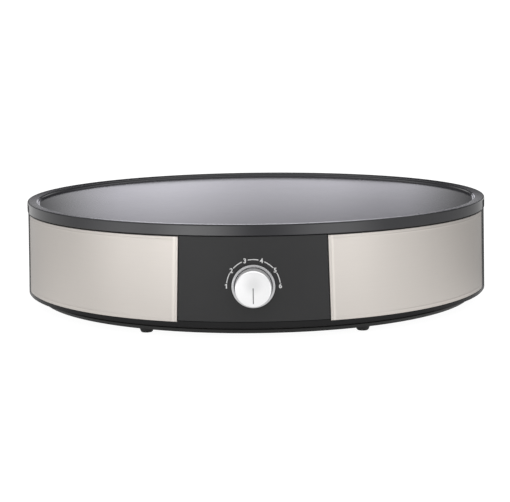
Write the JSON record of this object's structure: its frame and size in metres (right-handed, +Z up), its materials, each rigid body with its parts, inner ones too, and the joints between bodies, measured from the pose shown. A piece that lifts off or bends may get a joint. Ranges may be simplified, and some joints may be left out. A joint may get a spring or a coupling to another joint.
{
  "type": "electric crepe maker",
  "caption": "Low round electric crepe griddle: rimmed cast plate on a drum housing with brushed steel side trims, a black front panel with a rotary heat knob, and rubber feet.",
  "frame": {"origin": "where the griddle's vertical axis meets the surface that the feet stand on", "axes": "+Z up, -Y to the front where the knob is, +X to the right seen from the front"},
  "size_m": [0.4016, 0.4245, 0.089],
  "materials": {
    "griddle_coating": "cast aluminium with a satin dark grey non-stick coating",
    "trim_steel": "fine horizontal brushing, satin",
    "housing_black": "fine matt moulded",
    "fascia_black": "smooth satin moulded",
    "base_black": "matt moulded",
    "foot_rubber": "matt",
    "ring_metal": "satin turned",
    "knob_silver": "silver coated, satin",
    "cap_metal": "brushed face with a bright chamfer",
    "spring_steel": "plain",
    "element_steel": "annealed tube",
    "zinc_steel": "zinc plated",
    "shield_aluminium": "mill finish sheet",
    "ceramic_white": "unglazed",
    "brass": "plain",
    "copper_tube": "drawn copper; brass stands in for copper",
    "gland_black": "matt nylon",
    "block_white": "natural nylon",
    "wire_brown": "silicone sleeve",
    "wire_black": "silicone sleeve",
    "wire_blue": "silicone sleeve",
    "wire_green": "silicone sleeve"
  },
  "bodies": {
    "cooker": {"griddle_plate": "griddle_coating", "heating_element": "element_steel", "element_seals": "ceramic_white", "element_tabs": "zinc_steel", "heat_shield": "shield_aluminium", "housing": "housing_black", "control_panel": "fascia_black", "rear_panel": "fascia_black", "trim_front_left": "trim_steel", "trim_front_right": "trim_steel", "trim_rear_left": "trim_steel", "trim_rear_right": "trim_steel", "base_pan": "base_black", "rubber_feet": "foot_rubber", "dial_ring": "ring_metal", "thermostat_can": "zinc_steel", "thermostat_base": "ceramic_white", "thermostat_tabs": "brass", "thermostat_bracket": "zinc_steel", "thermostat_screws": "zinc_steel", "capillary_tube": "copper_tube", "sensor_bulb": "copper_tube", "bulb_straps": "zinc_steel", "strap_screws": "zinc_steel", "thermal_cutout": "ceramic_white", "cutout_tabs": "brass", "cutout_strap": "zinc_steel", "rear_bracket": "zinc_steel", "panel_screws": "zinc_steel", "spacer_tubes": "zinc_steel", "tie_screws": "zinc_steel", "housing_screws": "zinc_steel", "terminal_block": "block_white", "terminal_screws": "brass", "block_screw": "zinc_steel", "cord_gland": "gland_black", "earth_screw": "brass", "earth_ring": "zinc_steel", "spade_connectors": "zinc_steel", "wire_live": "wire_brown", "wire_cutout": "wire_brown", "wire_heater": "wire_black", "wire_neutral": "wire_blue", "wire_earth": "wire_green"},
    "knob": {"knob_body": "knob_silver", "knob_cap": "cap_metal", "knob_clip": "spring_steel", "thermostat_shaft": "zinc_steel"}
  },
  "joints": [
    {"name": "knob_turn", "type": "hinge", "parent": "cooker", "child": "knob", "pos_m": [0, -0.2, 0.042], "axis": [0, 1, 0], "range_deg": [0, 270]}
  ]
}
